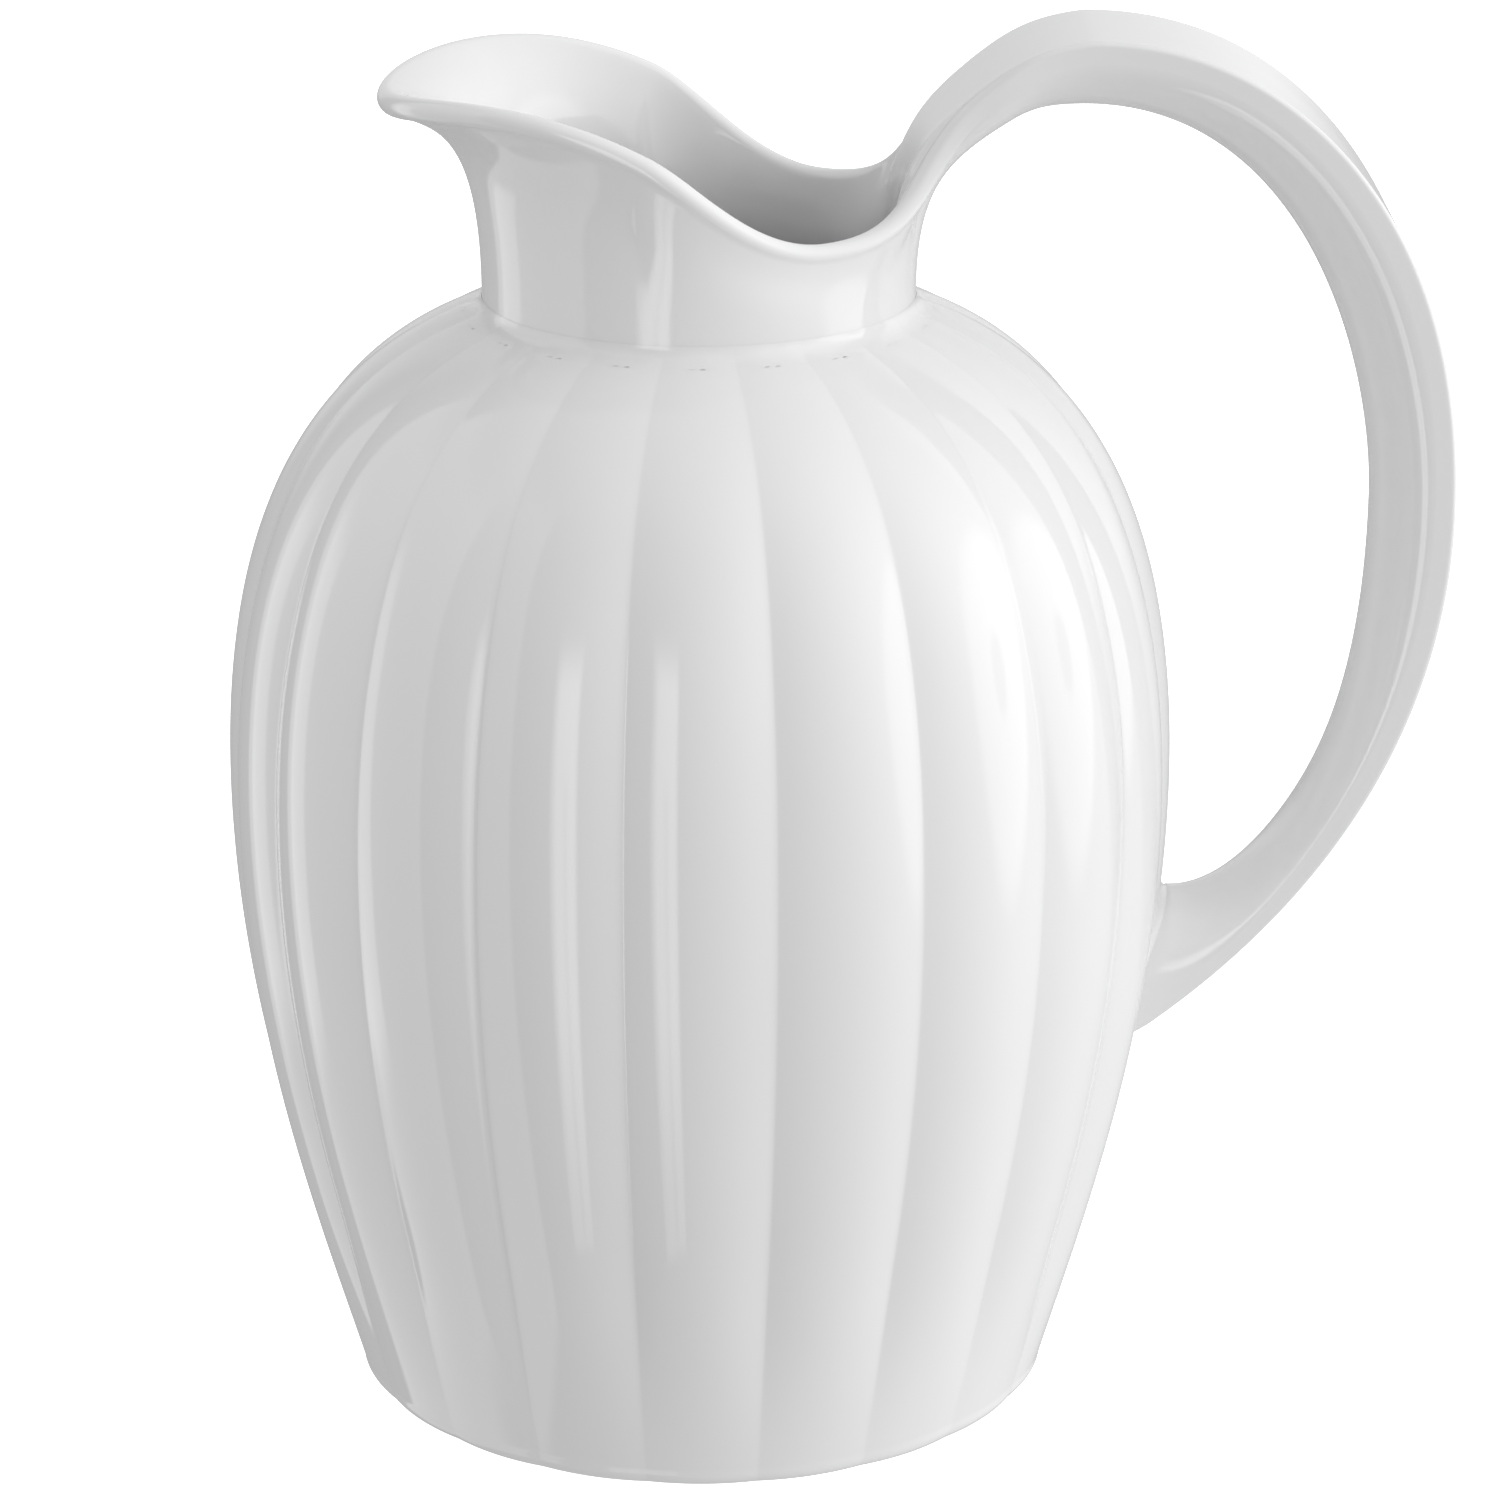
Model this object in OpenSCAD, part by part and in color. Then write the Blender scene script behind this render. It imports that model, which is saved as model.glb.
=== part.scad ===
// Lobed ceramic pitcher with a flared pouring lip and a strap handle.
// The origin is on the body's axis at the table, +X points to the handle and
// -X to the pouring lip. The pitcher is symmetric about the plane y = 0.

/* [Body] */
// Largest radius of the body, over the crests of the lobes
belly_r = 80; // [78.5:0.5:82]
// Height of the widest point above the table
belly_z = 108; // [106:1:110]
// Radius of the crests just above the rounded bottom edge
bottom_r = 60.2; // [59:0.2:61.4]
// Radius of the rounded bottom edge
edge_r = 3.2; // [3:0.2:4.4]
// Number of lobes round the body
lobes = 20; // [20, 24]
// Depth of the creases between the lobes at mid height
crease_depth = 1.9; // [1:0.1:2.4]
// Thickness of the body's wall, measured under a crest
body_wall = 6; // [5.5:0.1:6.5]
// Thickness of the floor
floor_t = 5.4; // [5:0.2:6]

/* [Foot] */
// Height of the unglazed foot ring
foot_h = 1.2; // [1:0.1:1.6]
// Outer radius of the foot ring
foot_r = 54; // [53:0.5:55]
// Width of the foot ring
foot_w = 6.5; // [5:0.5:7]
// How far the underside is recessed inside the foot ring
recess_h = 1.8; // [1:0.2:2]

/* [Neck] */
// Height of the joint between body and neck
neck_z = 188.7; // [188:0.1:189.4]
// Outer radius of the neck at that joint
neck_r = 36; // [35.6:0.1:36.2]
// Thickness of the neck's wall, of its rounded lip and of the strap's side edges
neck_wall = 3.5; // [3.2:0.1:3.8]
// Height of the straight collar above the joint
collar_h = 3; // [2.8:0.1:3.2]
// Width of the slip fillet round the foot of the neck
fillet_w = 1.4; // [1:0.1:1.4]
// Height of the slip fillet
fillet_h = 2.6; // [2:0.1:2.7]

/* [Lip] */
// How far the pouring lip reaches out from the axis
spout_reach = 52.6; // [51:0.2:54]
// Height of the pouring lip's tip
spout_z = 226.6; // [225.6:0.2:227.6]
// Thickness of the rolled lip at its tip
tip_t = 4; // [3.5:0.1:4.4]
// Half the width of the mouth, out to the rim's outer edge
mouth_half_w = 38.7; // [37.7:0.2:39.7]
// Height of the low side of the rim, next to the handle
dip_z = 206; // [205:0.2:207]

/* [Handle] */
// Distance from the axis to the outermost point of the handle
handle_reach = 125.3; // [123:0.1:127]
// Height of the top of the handle's arch
arch_z = 235.8; // [234.8:0.2:236.8]
// Half the width of the strap where it leaves the rim
strap_top_w = 14.9; // [14.3:0.1:15.5]
// Half the width of the strap at the top of the arch
strap_arch_w = 14.1; // [13:0.1:15]
// How much wider each half of the strap is between the arch and its outermost point
strap_swell = 2.8; // [0:0.2:3.4]
// Half the width of the strap at its outermost point
strap_reach_w = 14; // [13:0.1:15]
// Half the width of the strap at the lower joint
strap_low_w = 12.5; // [11.5:0.1:13]
// Depth of the strap where it leaves the rim
strap_top_t = 9; // [8:0.2:10]
// Depth of the strap at the top of the arch
strap_arch_t = 12.5; // [11.5:0.1:13]
// Depth of the strap at its outermost point
strap_reach_t = 12.8; // [12:0.1:13.5]

/* [Hidden] */
porcelain = [0.95, 0.95, 0.93];
slip = [0.90, 0.89, 0.86];
bare_clay = [0.87, 0.83, 0.76];
tiny = 0.05;

// ---- points, vectors and curves ----

function unit(v) = v / norm(v);
function mix(a, b, t) = a + (b - a) * t;
function ease(t) = t * t * (3 - 2 * t);
function flip_y(p) = [p[0], -p[1], p[2]];
function reversed(list) = [for (i = [len(list) - 1 : -1 : 0]) list[i]];

// Cubic Bezier curve through p[0] and p[3], and its direction
function bezier(p, t) =
    pow(1 - t, 3) * p[0] + 3 * t * pow(1 - t, 2) * p[1]
    + 3 * t * t * (1 - t) * p[2] + pow(t, 3) * p[3];
function heading(p, t) =
    unit(pow(1 - t, 2) * (p[1] - p[0]) + 2 * t * (1 - t) * (p[2] - p[1])
         + t * t * (p[3] - p[2]));

// ---- meshes ----

// Two triangles between the corners of a quadrilateral
function quad(a, b, c, d) = [[a, b, c], [a, c, d]];

// Triangles of a grid of closed rings, n points in each
function ring_faces(rings, n) = [
    for (i = [0 : rings - 2], j = [0 : n - 1], face = quad(
        i * n + j, i * n + (j + 1) % n,
        (i + 1) * n + (j + 1) % n, (i + 1) * n + j)) face
];

// Rings that run from one point to another, like a globe's parallels
module globe(first, rings, final) {
    n = len(rings[0]);
    count = len(rings) * n;
    last = count - n;
    polyhedron(
        points = concat([for (ring = rings, p = ring) p], [first, final]),
        faces = concat(
            ring_faces(len(rings), n),
            [for (j = [0 : n - 1]) [count, (j + 1) % n, j]],
            [for (j = [0 : n - 1]) [count + 1, last + j, last + (j + 1) % n]]));
}

// Rings whose last one joins the first, like a tyre
module tyre(rings) {
    n = len(rings[0]);
    polyhedron(
        points = [for (ring = rings, p = ring) p],
        faces = [
            for (face = ring_faces(len(rings) + 1, n))
                [for (k = face) k % (len(rings) * n)]]);
}

// Middle of a ring's points
function centre(ring, i = 0, sum = [0, 0, 0]) =
    i == len(ring) ? sum / i : centre(ring, i + 1, sum + ring[i]);

// ---- body ----

// Crests of the lobes in two curves: rounded edge to belly, belly to neck
bottom_z = foot_h + edge_r;
shoulder_r = neck_r + 2;
lower_crest = [
    [bottom_r, bottom_z],
    [bottom_r + 7, bottom_z + 24],
    [belly_r, belly_z - 42],
    [belly_r, belly_z]];
upper_crest = [
    [belly_r, belly_z],
    [belly_r, belly_z + 40],
    [shoulder_r + 30.8, neck_z - 10.8],
    [shoulder_r, neck_z]];

// The plain inside: a cove round the floor, then two curves up to the throat
inner_r = belly_r - body_wall;
floor_z = foot_h + recess_h + floor_t;
floor_r = bottom_r - 8;
cove_r = 6;
throat_r = neck_r - neck_wall;
lower_inside = [
    [floor_r, floor_z + cove_r],
    [bottom_r + 0.5, floor_z + 24],
    [inner_r, belly_z - 42],
    [inner_r, belly_z]];
upper_inside = [
    [inner_r, belly_z],
    [inner_r, belly_z + 38],
    [shoulder_r + 25, neck_z - 16],
    [throat_r + 1.5, neck_z - 5]];

// Share of the full crease depth at a height: shallow at both ends
function crease_share(z) = lookup(z, [
    [foot_h, 0.2], [belly_z * 0.4, 1], [belly_z * 1.3, 1], [neck_z, 0.35]]);

// How far a lobe falls away from its crest: 0 on the crest, 1 in the crease
function lobe_fall(angle) =
    let (pitch = 360 / lobes, off = abs((angle + 3600 + pitch / 2) % pitch - pitch / 2))
    pow(2 * off / pitch, 2);

// One ring of the lobed outside, from a crest point [radius, height]
per_lobe = 6;
around = lobes * per_lobe;
function lobed_ring(crest) = [
    for (j = [0 : around - 1])
        let (angle = 360 * j / around,
             r = crest[0] - crease_depth * crease_share(crest[1]) * lobe_fall(angle))
        [r * cos(angle), r * sin(angle), crest[1]]];
function plain_ring(p, n) = [
    for (j = [0 : n - 1]) [p[0] * cos(360 * j / n), p[0] * sin(360 * j / n), p[1]]];

// Steps along each part of the profile
edge_steps = 4;
lower_steps = 9;
upper_steps = 11;
inside_steps = 5;
recess_r = foot_r - foot_w - 1;
edge_crest = [
    for (i = [0 : edge_steps - 1])
        let (angle = 90 * i / edge_steps)
        [bottom_r - edge_r + edge_r * sin(angle), bottom_z - edge_r * cos(angle)]];
outside_crest = concat(
    edge_crest,
    [for (i = [0 : lower_steps - 1]) bezier(lower_crest, i / lower_steps)],
    [for (i = [0 : upper_steps]) bezier(upper_crest, i / upper_steps)]);
inside_profile = concat(
    [[throat_r, neck_z], [throat_r, neck_z - 2.5]],
    reversed([for (i = [0 : inside_steps]) bezier(upper_inside, i / inside_steps)]),
    reversed([for (i = [0 : inside_steps - 1]) bezier(lower_inside, i / inside_steps)]),
    [for (angle = [30 : 30 : 90])
        [floor_r - cove_r + cove_r * cos(angle), floor_z + cove_r - cove_r * sin(angle)]]);

module body() {
    underside = [[recess_r - recess_h, foot_h + recess_h], [recess_r, foot_h]];
    color(porcelain)
        globe(
            [0, 0, floor_z],
            reversed(concat(
                [for (p = underside) plain_ring(p, around)],
                [for (crest = outside_crest) lobed_ring(crest)],
                [for (p = inside_profile) plain_ring(p, around)])),
            [0, 0, foot_h + recess_h]);
}

module foot_ring() {
    // Sharp edges are taken off by this much
    break_w = 0.4;
    color(bare_clay)
        rotate_extrude($fn = 96)
            polygon([
                [foot_r - foot_w, foot_h],
                [foot_r - foot_w, break_w],
                [foot_r - foot_w + break_w, 0],
                [foot_r - break_w, 0],
                [foot_r, break_w],
                [foot_r, foot_h]]);
}

module neck_joint() {
    // The finger that smooths the slip leaves this hollow
    hollow_r = 2.75;
    hollow = [neck_r + fillet_w + 1.4, neck_z + fillet_h + 0.2];
    color(slip)
        rotate_extrude($fn = 96)
            difference() {
                translate([neck_r, neck_z])
                    square([fillet_w, fillet_h]);
                translate(hollow)
                    circle(r = hollow_r, $fn = 64);
            }
}

// ---- neck, mouth and pouring lip ----

lip_half = neck_wall / 2;
tip_half = tip_t / 2;

// Where the handle's strap starts: a flat cut across it
cut_run = unit([0.785, 0, 0.62]);
cut_down = unit([0.62, 0, -0.785]);
cut_back_run = unit([0.87, 0, 0.52]);
cut_top = [46, 0, arch_z - 7.6];
cut_corner = cut_top + [0, strap_top_w - lip_half, 0] + lip_half * cut_down;

// Middle line of the rim on the y > 0 side in three curves: from the tip of the
// pouring lip to the mouth's widest point, to the dip, and up to the cut
tip = [tip_half - spout_reach, 0, spout_z - tip_half];
side = [-8.5, mouth_half_w - lip_half, tip[2] - 4.1];
dip = [20.5, 27.4, dip_z - lip_half];
// How far the rim keeps its direction on leaving each of those points
tip_pull = 22.6;
side_pull = 8.5;
dip_pull_in = 14.2;
dip_pull_out = 20.2;
cut_pull = 17.1;
// Control point that lets the rim swing up and over before its widest point
side_before = [tip[0] * 0.633, mouth_half_w - 6, tip[2] + 7.3];
side_run = unit(side - side_before);
dip_run = unit([1, -0.58, 0]);
rim_front = [tip, tip + [0, tip_pull, 0], side_before, side];
rim_side = [side, side + side_pull * side_run, dip - dip_pull_in * dip_run, dip];
rim_back = [dip, dip + dip_pull_out * dip_run, cut_corner - cut_pull * cut_run, cut_corner];

// How far the wall leans outwards at the tip, the side and the dip, in degrees
lean_tip = 78;
lean_side = 20;
lean_dip = 4;
lean_cut = 52;

// How far the lip rolls over its outer edge, in degrees
lip_roll = 30;
// Steps round the lip, up the wall and across the strap
lip_steps = 6;
wall_steps = 9;
strap_steps = 8;

// Frame of the rim at a point of one of its curves: place, direction along
// the rim, and outward normal of the wall under it
function rim_frame(curve, t, lean, turn) =
    let (m = bezier(curve, t),
         along = heading(curve, t),
         azimuth = atan2(m[1], m[0]) * turn,
         guess = [cos(azimuth) * cos(lean), sin(azimuth) * cos(lean), -sin(lean)],
         outward = unit(guess - (guess * along) * along))
    [m, along, outward, cross(along, outward)];

// Steps along each of the rim's three curves
front_n = 14;
side_n = 7;
back_n = 9;
rim_frames = concat(
    [for (i = [0 : front_n - 1])
        let (t = i / front_n)
        rim_frame(rim_front, t, mix(lean_tip, lean_side, ease(t)), 1)],
    [for (i = [0 : side_n - 1])
        let (t = i / side_n)
        rim_frame(rim_side, t, mix(lean_side, lean_dip, t), 1)],
    [for (i = [0 : back_n])
        let (t = i / back_n)
        rim_frame(rim_back, t, mix(lean_dip, lean_cut, ease(t)), 1 - ease(t))]);

// For each rim frame, how close it is to the tip and to the cut, from 0 to 1
function near_tip(i) = 1 - ease(min(1, i / front_n));
function near_cut(i) = ease(max(0, (i - front_n - side_n) / back_n));

// Points of a wall from its foot up to the rim. It starts upright and ends
// leaning: pull holds the reach of both, as shares of the wall's height
function wall_points(foot, top, lean, pull) =
    let (rise = top[2] - foot[2],
         curve = [foot, foot + [0, 0, pull[0] * rise], top - pull[1] * rise * lean, top])
    [for (i = [0 : wall_steps]) bezier(curve, i / wall_steps)];

pull_tip = [0.74, 0.29];
pull_back = [0.6, 0.42];

// One closed section of the neck: up the inside, over the lip, down the outside
function neck_section(angle, lip, lean_in, lean_out, pull) =
    let (out = [cos(angle), sin(angle), 0],
         base = [0, 0, neck_z],
         collar = [0, 0, collar_h])
    concat(
        wall_points(base + throat_r * out, lip[0], lean_in, pull),
        [for (i = [1 : lip_steps - 1]) lip[i]],
        reversed(wall_points(
            base + collar + neck_r * out, lip[lip_steps], lean_out, pull)),
        [base + neck_r * out]);

// The lip's outline in the plane across the rim. It is round, and turns into
// the strap's square edge towards the cut
function lip_points(frame, half, roll, square) = [
    for (i = [0 : lip_steps])
        let (angle = (180 + roll) * i / lip_steps)
        frame[0] + half * (mix(sin(angle), 1, square) * frame[3] - cos(angle) * frame[2])];

function rim_section(i) =
    let (frame = rim_frames[i],
         half = mix(lip_half, tip_half, near_tip(i)),
         lip = lip_points(frame, half, lip_roll * (1 - near_cut(i)), near_cut(i)),
         lean = unit(mix(frame[3], frame[1], near_cut(i))))
    neck_section(
        atan2(frame[0][1], frame[0][0]), lip, lean, lean, mix(pull_back, pull_tip, near_tip(i)));

// The strap's section across the cut: a flat outer face and a rounded inner side
function d_depth(s, depth) = neck_wall + (depth - neck_wall) * sin(180 * s);
function cut_section(s) =
    let (outer_face = cut_top + [0, cos(180 * s) * strap_top_w, 0],
         inner_side = outer_face + d_depth(s, strap_top_t) * cut_down,
         angle = atan2(cut_corner[1], cut_corner[0]) * cos(180 * s),
         lip = [for (i = [0 : lip_steps]) mix(outer_face, inner_side, i / lip_steps)])
    neck_section(
        angle, lip, cut_run, unit(mix(cut_run, cut_back_run, sin(180 * s))), pull_back);

half_sections = [for (i = [0 : len(rim_frames) - 1]) rim_section(i)];
strap_sections = [for (i = [1 : strap_steps - 1]) cut_section(i / strap_steps)];
neck_sections = concat(
    half_sections,
    strap_sections,
    [for (i = [len(half_sections) - 1 : -1 : 1]) [for (p = half_sections[i]) flip_y(p)]]);

module neck() {
    color(porcelain)
        tyre(neck_sections);
}

// ---- handle ----

// Points that the outer face's middle line passes through
cut_back = cut_top + strap_top_t * cut_down;
arch = [64, 0, arch_z];
reach = [handle_reach, 0, belly_z + 49];
root = [belly_r - 3.8, 0, reach[2] - 92];

// Points that the rounded inner side's middle line passes through
arch_back = [arch[0] - 1, 0, arch_z - strap_arch_t];
reach_back = [handle_reach - strap_reach_t, 0, reach[2] - 2];
root_back = [belly_r + 0.4, 0, reach[2] - 71];

// The two middle lines in three curves each: rim to arch, arch to the
// outermost point, and on down to the body
outer_rail = [
    [cut_top, cut_top + 6 * cut_run, arch - [8.5, 0, 0.9], arch],
    [arch, arch + [36, 0, 0], reach + [0, 0, 46], reach],
    [reach, reach - [0, 0, 38.5], root + [29.2, 0, 21.8], root]];
inner_rail = [
    [cut_back, cut_back + 4 * cut_back_run, arch_back - [5, 0, 0], arch_back],
    [arch_back, arch_back + [36, 0, 0], reach_back + [0, 0, 25], reach_back],
    [reach_back, reach_back - [0, 0, 54.5], root_back + [11.6, 0, -1.4], root_back]];
rail_steps = [5, 14, 16];
// How far the inner rail lags behind the outer one, to keep sections square
rail_lag = [0, 0.08, 0.13];
// Half the strap's width at both ends of each curve, and the swell between
strap_w = [
    [strap_top_w, strap_arch_w, 0],
    [strap_arch_w, strap_reach_w, strap_swell],
    [strap_reach_w, strap_low_w, 0]];
side_steps = 12;
face_steps = 4;

// Closed D-shaped section between a point of the outer rail and its partner
function d_section(outer, inner, half_w) =
    let (depth = norm(inner - outer),
         down = (inner - outer) / depth)
    concat(
        [for (i = [0 : side_steps])
            outer + [0, half_w * cos(180 * i / side_steps), 0]
            + d_depth(i / side_steps, depth) * down],
        [for (i = [0 : face_steps]) outer + [0, half_w * (2 * i / face_steps - 1), 0]]);

function strap_section(part, t) =
    let (lag = t - rail_lag[part] * sin(180 * t),
         w = strap_w[part])
    d_section(
        bezier(outer_rail[part], t),
        bezier(inner_rail[part], lag),
        mix(w[0], w[1], ease(t)) + w[2] * pow(sin(180 * t), 2));

module handle() {
    rings = concat(
        [strap_section(0, 0)],
        [for (part = [0 : 2], i = [1 : rail_steps[part]])
            strap_section(part, i / rail_steps[part])]);
    color(porcelain)
        globe(centre(rings[0]), rings, centre(rings[len(rings) - 1]));
}

// ---- lower handle joint ----

// Radius of the crests at a height, found by halving the curve's range
function crest_at(curve, z, low = 0, high = 1, depth = 16) =
    let (half = (low + high) / 2)
    depth == 0 ? bezier(curve, half)[0]
    : bezier(curve, half)[1] < z ? crest_at(curve, z, half, high, depth - 1)
    : crest_at(curve, z, low, half, depth - 1);

// Point of the lobed outside at the given side offset and height
function body_point(y, z) =
    let (crest = crest_at(lower_crest, z),
         fall = crease_depth * crease_share(z) * lobe_fall(asin(y / crest)),
         r = crest - fall + tiny)
    [sqrt(r * r - y * y), y, z];

// Grid over the strap's flat end; the last row stops just short of its point
pad_rows = 7;
pad_cols = 8;
pad_end = 0.985;
function pad_half_w(v) =
    let (edge = neck_wall / norm(root_back - root),
         past = max(0, (v - edge) / (1 - edge)))
    strap_low_w * sqrt(max(0, 1 - past * past));
function pad_place(row, col) =
    let (v = min(row / pad_rows, pad_end),
         on_rail = mix(root, root_back, v))
    on_rail + [0, pad_half_w(v) * (1 - 2 * col / pad_cols), 0];

module handle_joint() {
    n = pad_cols + 1;
    count = (pad_rows + 1) * n;
    front = [for (row = [0 : pad_rows], col = [0 : pad_cols]) pad_place(row, col)];
    back = [for (p = front) body_point(p[1], p[2])];
    border = concat(
        [for (col = [0 : pad_cols - 1]) col],
        [for (row = [0 : pad_rows - 1]) row * n + pad_cols],
        [for (col = [pad_cols : -1 : 1]) pad_rows * n + col],
        [for (row = [pad_rows : -1 : 1]) row * n]);
    cells = [for (row = [0 : pad_rows - 1], col = [0 : pad_cols - 1]) row * n + col];
    color(slip)
        polyhedron(
            points = concat(back, front),
            faces = concat(
                [for (c = cells, face = quad(c, c + n, c + n + 1, c + 1)) face],
                [for (c = cells, face = quad(
                    count + c, count + c + 1, count + c + n + 1, count + c + n)) face],
                [for (i = [0 : len(border) - 1], face = quad(
                    border[i], border[(i + 1) % len(border)],
                    count + border[(i + 1) % len(border)], count + border[i])) face]));
}

body();
neck();
handle();
foot_ring();
neck_joint();
handle_joint();
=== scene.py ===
import math

import bmesh
import bpy
import numpy as np
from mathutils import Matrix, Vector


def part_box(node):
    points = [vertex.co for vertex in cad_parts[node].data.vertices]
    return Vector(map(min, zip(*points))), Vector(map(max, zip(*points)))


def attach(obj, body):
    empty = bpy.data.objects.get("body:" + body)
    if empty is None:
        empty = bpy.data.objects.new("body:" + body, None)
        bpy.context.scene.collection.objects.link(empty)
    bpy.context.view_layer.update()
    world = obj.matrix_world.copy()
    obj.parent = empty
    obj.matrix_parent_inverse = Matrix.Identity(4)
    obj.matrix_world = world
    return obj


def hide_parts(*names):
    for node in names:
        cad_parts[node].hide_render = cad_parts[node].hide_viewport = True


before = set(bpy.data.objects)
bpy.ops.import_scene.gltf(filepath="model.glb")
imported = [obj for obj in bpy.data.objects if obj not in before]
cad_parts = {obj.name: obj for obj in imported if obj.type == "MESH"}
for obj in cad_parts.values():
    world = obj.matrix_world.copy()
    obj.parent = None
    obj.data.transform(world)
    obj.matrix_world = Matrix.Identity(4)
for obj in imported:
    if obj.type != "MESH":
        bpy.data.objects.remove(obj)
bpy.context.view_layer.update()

# Looks of a lobed porcelain pitcher. The origin is on the body's axis at the table, +X points to
# the handle and -X to the pouring lip. Shapes are worked out in millimetres, and become metres
# when a mesh is made. Every shape is symmetric about the plane y = 0.

MM = 0.001


def low_corner(node):
    return np.array(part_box(node)[0]) / MM


def high_corner(node):
    return np.array(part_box(node)[1]) / MM


# ---- driving sizes: those that the frame gives are read from it ----

FOOT_H = low_corner("body")[2]
NECK_Z = high_corner("body")[2]
BELLY_R = high_corner("body")[1]
FOOT_R = high_corner("foot_ring")[0]
HANDLE_REACH = high_corner("handle")[0]
ARCH_Z = high_corner("handle")[2]

BELLY_Z = 108
BOTTOM_R = 60.2
EDGE_R = 3.2
LOBES = 20
CREASE_DEPTH = 1.9
CREASE_SOFT = 0.035
BODY_WALL = 6
FLOOR_T = 5.4
RECESS_H = 1.8
FOOT_W = 6.5

NECK_R = 36.0
NECK_WALL = 3.5
COLLAR_H = 3
LIP_HALF = NECK_WALL / 2

STRAP_TOP_W = 14.9
STRAP_ARCH_W = 14.1
STRAP_SWELL = 2.8
STRAP_REACH_W = 14
STRAP_LOW_W = 12.5
STRAP_EDGE = NECK_WALL


# ---- points, vectors and curves ----

def unit(v):
    return v / np.linalg.norm(v, axis=-1, keepdims=True)


def mix(a, b, t):
    return a + (b - a) * t


def ease(t):
    t = np.clip(t, 0, 1)
    return t * t * (3 - 2 * t)


def steps(count):
    """Evenly spaced numbers from 0 to 1."""
    return np.linspace(0, 1, count + 1)


def column(t):
    return np.asarray(t, float)[..., None]


def point(x, y, z):
    return np.stack(np.broadcast_arrays(*(np.asarray(v, float) for v in (x, y, z))), axis=-1)


def bezier(a, b, c, d, t):
    """Points of a cubic Bezier curve, or of several at once, at the parameters t."""
    a, b, c, d = (np.asarray(p, float) for p in (a, b, c, d))
    t = column(t)
    return (1 - t) ** 3 * a + 3 * t * (1 - t) ** 2 * b + 3 * t * t * (1 - t) * c + t ** 3 * d


def heading(a, b, c, d, t):
    """Directions of a cubic Bezier curve at the parameters t."""
    a, b, c, d = (np.asarray(p, float) for p in (a, b, c, d))
    t = column(t)
    return unit((1 - t) ** 2 * (b - a) + 2 * t * (1 - t) * (c - b) + t * t * (d - c))


def around(radius, height, angle):
    """Rows of points round the axis, one row for each radius and height."""
    radius, height, angle = column(radius), column(height), np.asarray(angle)[None, :]
    return point(radius * np.cos(angle), radius * np.sin(angle), height)


# ---- meshes ----

SHARP_EDGE = math.radians(50)


def grid_faces(rows, columns, wrap_rows=False):
    """Quads of a grid whose columns run round in a closed ring."""
    last = rows if wrap_rows else rows - 1
    r = np.repeat(np.arange(last), columns)
    c = np.tile(np.arange(columns), last)
    below, after = (r + 1) % rows, (c + 1) % columns
    corners = (r * columns + c, r * columns + after, below * columns + after, below * columns + c)
    return np.stack(corners, axis=-1).tolist()


def end_faces(rows, columns):
    """Polygons that close the first and the last ring."""
    first = list(range(columns))
    return [first[::-1], [(rows - 1) * columns + c for c in first]]


def add_object(name, data):
    """New object in the scene, from a mesh or a camera."""
    thing = bpy.data.objects.new(name, data)
    bpy.context.scene.collection.objects.link(thing)
    return thing


def new_piece(name, rings, material, nodes, closed_loop=False):
    """Mesh piece from rings of points in millimetres, standing for CAD nodes."""
    rows, columns = rings.shape[:2]
    faces = grid_faces(rows, columns, closed_loop)
    if not closed_loop:
        faces += end_faces(rows, columns)
    mesh = bpy.data.meshes.new(name)
    mesh.from_pydata((rings.reshape(-1, 3) * MM).tolist(), [], faces)
    shell = bmesh.new()
    shell.from_mesh(mesh)
    bmesh.ops.recalc_face_normals(shell, faces=shell.faces)
    shell.to_mesh(mesh)
    shell.free()
    mesh.shade_smooth()
    mesh.set_sharp_from_angle(angle=SHARP_EDGE)
    mesh.materials.append(material)
    piece = add_object(name, mesh)
    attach(piece, "root")
    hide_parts(*nodes)
    return piece


def store(piece, name, values):
    """Keeps one number for each vertex, for a material to read."""
    layer = piece.data.attributes.new(name, "FLOAT", "POINT")
    layer.data.foreach_set("value", np.asarray(values, np.float32).ravel())


# ---- materials ----

GLAZE_IOR = 1.52
WHITE_LOW = (0.83, 0.828, 0.834)
WHITE_HIGH = (0.86, 0.858, 0.863)
# Painted shade along the creases
CREASE_SHADE_WHITE = (0.80, 0.798, 0.80)
# Painted shade on the inside walls
INSIDE_SHADE_GREY = (0.60, 0.595, 0.61)
SLIP_LOW = (0.82, 0.818, 0.823)
CLAY_DARK = (0.62, 0.58, 0.52)
CLAY_LIGHT = (0.74, 0.70, 0.63)
CLAY_GRAIN = (0.50, 0.47, 0.43)


def new_material(name):
    material = bpy.data.materials.new(name)
    material.use_nodes = True
    tree = material.node_tree
    shader = tree.nodes["Principled BSDF"]
    return material, tree, shader


def noise(tree, scale, detail=2, stretch=None):
    """Noise in the object's own coordinates. scale is in waves per metre."""
    place = tree.nodes.new("ShaderNodeTexCoord")
    wave = tree.nodes.new("ShaderNodeTexNoise")
    wave.inputs["Scale"].default_value = scale
    wave.inputs["Detail"].default_value = detail
    source = place.outputs["Object"]
    if stretch:
        mapping = tree.nodes.new("ShaderNodeMapping")
        mapping.inputs["Scale"].default_value = stretch
        tree.links.new(source, mapping.inputs["Vector"])
        source = mapping.outputs["Vector"]
    tree.links.new(source, wave.inputs["Vector"])
    return wave.outputs["Fac"]


def stored(tree, name):
    """Number kept for each vertex, 0 where a piece has none."""
    node = tree.nodes.new("ShaderNodeAttribute")
    node.attribute_name = name
    return node.outputs["Fac"]


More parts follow.
